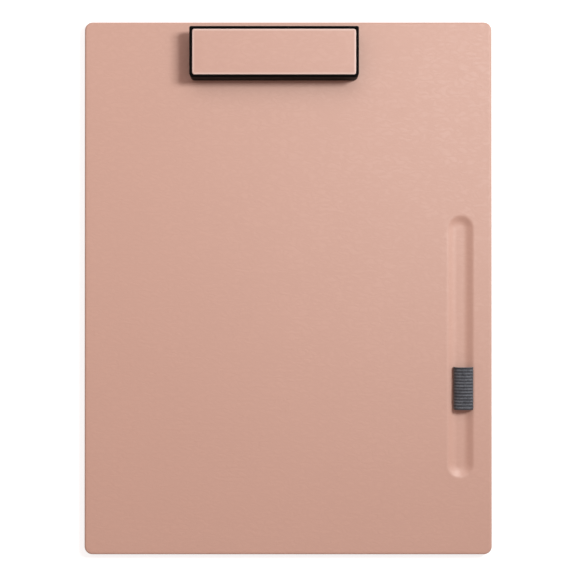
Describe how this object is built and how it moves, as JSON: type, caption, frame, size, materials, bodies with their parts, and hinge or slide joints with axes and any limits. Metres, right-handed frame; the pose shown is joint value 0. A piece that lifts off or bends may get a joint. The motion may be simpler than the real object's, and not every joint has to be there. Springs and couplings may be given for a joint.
{
  "type": "clipboard",
  "caption": "Faux-leather clipboard for upright sheets, with a low press-to-open spring clip at the top, a sunken pen groove down one side and an elastic pen loop over it.",
  "frame": {"origin": "middle of the back, on the plane that the board lies on", "axes": "+Y towards the clip end, +X to the pen groove's side, +Z out of the front"},
  "size_m": [0.241, 0.315, 0.016],
  "materials": {
    "board_skin": "fine-grained faux leather, satin",
    "board_ply": "dense board, matt",
    "back_lining": "plain faux leather, matt",
    "loop_webbing": "ribbed elastic webbing",
    "anchor_pad": "dense board, matt",
    "clip_steel": "nickel-plated steel, satin",
    "rivet_steel": "nickel-plated steel, bright",
    "spring_wire": "spring steel wire",
    "lever_plastic": "black moulded plastic, satin",
    "insert_board": "stiff board, matt",
    "insert_skin": "fine-grained faux leather, satin",
    "jaw_rubber": "soft black rubber"
  },
  "bodies": {
    "board": {"front_skin": "board_skin", "upper_board_ply": "board_ply", "lower_board_ply": "board_ply", "back_lining": "back_lining", "pen_loop": "loop_webbing", "loop_anchor_pads": "anchor_pad", "clip_base_plate": "clip_steel", "clip_rivets": "rivet_steel", "torsion_spring_left": "spring_wire", "torsion_spring_right": "spring_wire"},
    "clip_lever": {"lever_frame": "lever_plastic", "insert_plate": "insert_board", "insert_skin": "insert_skin", "jaw_pad": "jaw_rubber", "hinge_pin": "clip_steel"}
  },
  "joints": [
    {"name": "clip_lever", "type": "hinge", "parent": "board", "child": "clip_lever", "pos_m": [-0.0082, 0.1398, 0.0107], "axis": [-1, 0, 0], "range_deg": [0, 22], "stiffness_Nm_per_rad": 0.21, "springref_deg": -43.54, "deforming": ["torsion_spring_left", "torsion_spring_right"]}
  ]
}
